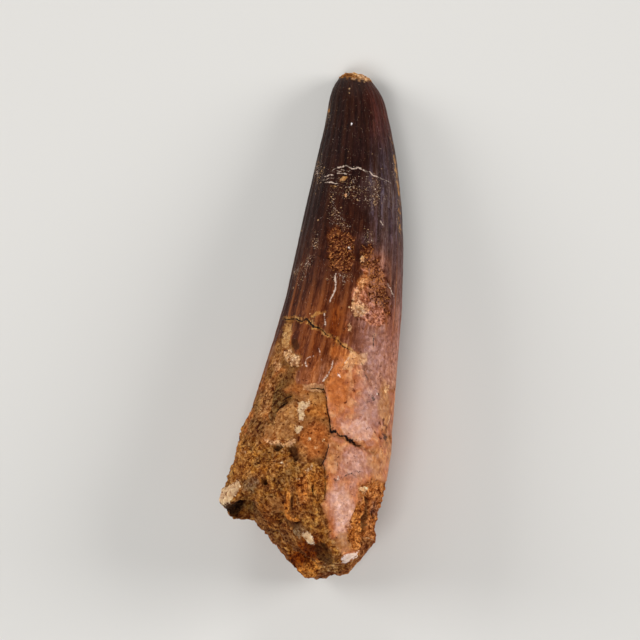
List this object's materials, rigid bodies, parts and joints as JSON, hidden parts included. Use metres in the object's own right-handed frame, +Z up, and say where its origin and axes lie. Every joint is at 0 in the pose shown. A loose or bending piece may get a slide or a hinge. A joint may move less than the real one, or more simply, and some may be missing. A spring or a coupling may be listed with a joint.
{
  "type": "spinosaurus tooth",
  "caption": "Fossil spinosaurus tooth: a curved, fluted dark crown on a worn brown root with sandy matrix, lying on its side as a loose specimen.",
  "frame": {"origin": "centre of the tooth's footprint, on the surface it lies on", "axes": "+Y from the broken root towards the worn tip, +Z up out of the front face, +X to the right of the front face"},
  "size_m": [0.0208, 0.0594, 0.0152],
  "materials": {
    "fossil": "satin"
  },
  "bodies": {
    "root": {"tooth": "fossil"}
  },
  "joints": []
}
